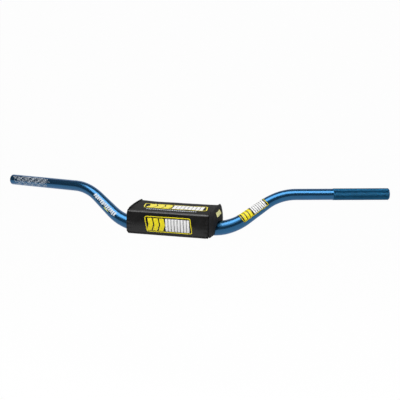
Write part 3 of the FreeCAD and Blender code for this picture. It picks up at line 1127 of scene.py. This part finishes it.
def riser_prints():
    corners = [(DECAL_START, 21), (DECAL_STOP, 21), (DECAL_STOP, -101), (DECAL_START, -101)]
    border = frame_ring(corners, width=0.9, radius=2.0, step=1.4, stretch=(1.0, 0.22))
    heads = arrows(140.0, 7.1, 15, -88, width=5.2, point=2.0, step=3.0)
    strokes = bars(7, 163.3, 4.2, 15, -88, width=3.1, slant=0.9, step=3.0)
    prints("riser_print_yellow", on_decal, [border] + heads, YELLOW, high=0.15, low=-0.1)
    prints("riser_print_white", on_decal, strokes, WHITE, high=0.15, low=-0.1)


def left_riser_prints():
    place = on_tube(-1)
    strokes = [bar(130.0 + 5.2 * k, -36, 1 + 5 * math.sin(k * 1.9), 4.0, 1.6, 3.0) for k in range(13)]
    prints("left_riser_print", place, strokes, SILVER, high=0.12, low=-0.1)
    swoosh = quad((146.0, 14), (160.5, 14), (163.0, 4), (150.0, 6), 2.0)
    prints("left_riser_print_green", place, [swoosh], GREEN, high=0.14, low=-0.1)


# Rows of small strokes on the other grip: degrees round the tube, first and last length
GRIP_ROWS = (
    (-60, 341, 404), (-48, 330, 431), (-35, 334, 427), (-22, 323, 428), (-9, 331, 417),
    (4, 335, 424), (17, 331, 414), (30, 333, 424), (43, 339, 430),
)


def swing(a):
    """A sine that runs from 0 to 1."""
    return 0.5 + 0.5 * math.sin(a)


def grip_prints():
    strokes = []
    for row, (angle, s, end) in enumerate(GRIP_ROWS):
        k = 0
        while s < end:
            width = 1.6 + 2.0 * swing(k * 2.7 + row * 1.9)
            tall = 5.0 + 3.0 * math.sin(k * 1.3 + row)
            strokes.append(bar(s, angle, angle + tall, width, 0.3, 3.0))
            s += width + 0.9 + 0.8 * swing(k * 3.7 + row)
            k += 1
    prints("left_grip_print", on_tube(-1), strokes, SILVER, high=0.12, low=-0.1)


front_prints()
top_prints()
end_badges()
riser_prints()
left_riser_prints()
grip_prints()


# Studio: pale sweep, soft light from above, and the photograph's camera. Sizes in metres

FLOOR = -0.34
FLOOR_FRONT = -1.35
WALL = 3.4
WALL_TOP = 5.0
COVE = 1.0
SWEEP_HALF = 8.0
GLOW_SHARE = 0.975                  # the rest is the matt surface, which takes the object's shadow
ROOM_GREY = 0.22


def studio_white():
    """Matt white that glows for camera, glossy and transmission rays alone."""
    material, tree, shader = new_material("studio white")
    shader.inputs["Base Color"].default_value = (0.93, 0.93, 0.93, 1)
    shader.inputs["Roughness"].default_value = 0.9
    shader.inputs["Specular IOR Level"].default_value = 0.0
    glow = add(tree, "ShaderNodeEmission", {"Color": (1, 1, 1, 1), "Strength": 1.0})
    path = add(tree, "ShaderNodeLightPath")
    first = add(tree, "ShaderNodeMath", operation="MAXIMUM")
    seen = add(tree, "ShaderNodeMath", operation="MAXIMUM")
    share = add(tree, "ShaderNodeMath", {1: GLOW_SHARE}, operation="MULTIPLY")
    tree.links.new(path.outputs["Is Camera Ray"], first.inputs[0])
    tree.links.new(path.outputs["Is Glossy Ray"], first.inputs[1])
    tree.links.new(first.outputs["Value"], seen.inputs[0])
    tree.links.new(path.outputs["Is Transmission Ray"], seen.inputs[1])
    tree.links.new(seen.outputs["Value"], share.inputs[0])
    mix = add(tree, "ShaderNodeMixShader")
    tree.links.new(share.outputs["Value"], mix.inputs["Fac"])
    tree.links.new(shader.outputs["BSDF"], mix.inputs[1])
    tree.links.new(glow.outputs["Emission"], mix.inputs[2])
    tree.links.new(mix.outputs["Shader"], tree.nodes["Material Output"].inputs["Surface"])
    return material


def sweep():
    """Floor that curves up into a wall behind the object."""
    path = [(FLOOR_FRONT, FLOOR), (WALL - COVE, FLOOR)]
    for k in range(1, 13):
        a = math.pi / 2 * k / 12
        path.append((WALL - COVE + COVE * math.sin(a), FLOOR + COVE * (1 - math.cos(a))))
    path.append((WALL, WALL_TOP))
    n = len(path)
    verts = [(x, y, z) for x in (-SWEEP_HALF, SWEEP_HALF) for y, z in path]
    faces = [(k, k + 1, n + k + 1, n + k) for k in range(n - 1)]
    mesh = bpy.data.meshes.new("sweep")
    mesh.from_pydata(verts, [], faces)
    mesh.shade_smooth()
    mesh.materials.append(studio_white())
    piece = bpy.data.objects.new("sweep", mesh)
    bpy.context.scene.collection.objects.link(piece)


def softbox(name, place, aim, size, radiance, mirrored=True):
    """Area lamp. mirrored says whether shiny surfaces show the lamp itself."""
    data = bpy.data.lights.new(name, "AREA")
    data.shape = "RECTANGLE"
    data.size, data.size_y = size
    data.energy = radiance * math.pi * size[0] * size[1]
    lamp = bpy.data.objects.new(name, data)
    lamp.location = place
    lamp.rotation_mode = "QUATERNION"
    lamp.rotation_quaternion = (Vector(aim) - Vector(place)).to_track_quat("-Z", "Y")
    lamp.visible_glossy = mirrored
    bpy.context.scene.collection.objects.link(lamp)


def room():
    """Grey world that the camera sees as white."""
    world = bpy.data.worlds.new("room")
    bpy.context.scene.world = world
    world.use_nodes = True
    tree = world.node_tree
    grey = tree.nodes["Background"]
    grey.inputs["Color"].default_value = (ROOM_GREY, ROOM_GREY, ROOM_GREY, 1)
    white = add(tree, "ShaderNodeBackground", {"Color": (1, 1, 1, 1), "Strength": 1.0})
    path = add(tree, "ShaderNodeLightPath")
    mix = add(tree, "ShaderNodeMixShader")
    tree.links.new(path.outputs["Is Camera Ray"], mix.inputs["Fac"])
    tree.links.new(grey.outputs["Background"], mix.inputs[1])
    tree.links.new(white.outputs["Background"], mix.inputs[2])
    tree.links.new(mix.outputs["Shader"], tree.nodes["World Output"].inputs["Surface"])


sweep()
softbox("overhead", place=(0.10, -0.46, 1.02), aim=(0.10, 0.0, 0.05), size=(1.75, 0.80), radiance=4.6)
softbox("riser fill", place=(-0.20, -1.12, 0.85), aim=(0.1, 0, 0.05), size=(0.80, 0.55), radiance=1.2)
softbox("front fill", place=(0.7, -2.2, 0.55), aim=(0, 0, 0), size=(1.6, 1.2), radiance=1.6, mirrored=False)
room()

AZIMUTH = 15.155
ELEVATION = 9.259
DISTANCE = 1.650
FRAME_PIXELS = 400
FOCAL_PIXELS = 822.30
SHIFT_PIXELS = (-0.3, 0.5)
SENSOR_WIDTH = 36.0                 # millimetres
ASIDE = -0.047744                   # where the object's origin lies from the line of sight
ALOFT = -0.052061


def photo_camera():
    a, e = math.radians(AZIMUTH), math.radians(ELEVATION)
    back = Vector((math.sin(a) * math.cos(e), -math.cos(a) * math.cos(e), math.sin(e)))
    right = Vector((math.cos(a), math.sin(a), 0))
    up = back.cross(right)
    data = bpy.data.cameras.new("camera")
    data.sensor_width = SENSOR_WIDTH
    data.lens = FOCAL_PIXELS / FRAME_PIXELS * SENSOR_WIDTH
    data.shift_x = SHIFT_PIXELS[0] / FRAME_PIXELS
    data.shift_y = SHIFT_PIXELS[1] / FRAME_PIXELS
    camera = bpy.data.objects.new("camera", data)
    place = back * DISTANCE - right * ASIDE - up * ALOFT
    turn = Matrix((right, up, back)).transposed().to_4x4()
    camera.matrix_world = Matrix.Translation(place) @ turn
    bpy.context.scene.collection.objects.link(camera)
    bpy.context.scene.camera = camera
    bpy.context.scene.view_settings.view_transform = "Standard"


photo_camera()
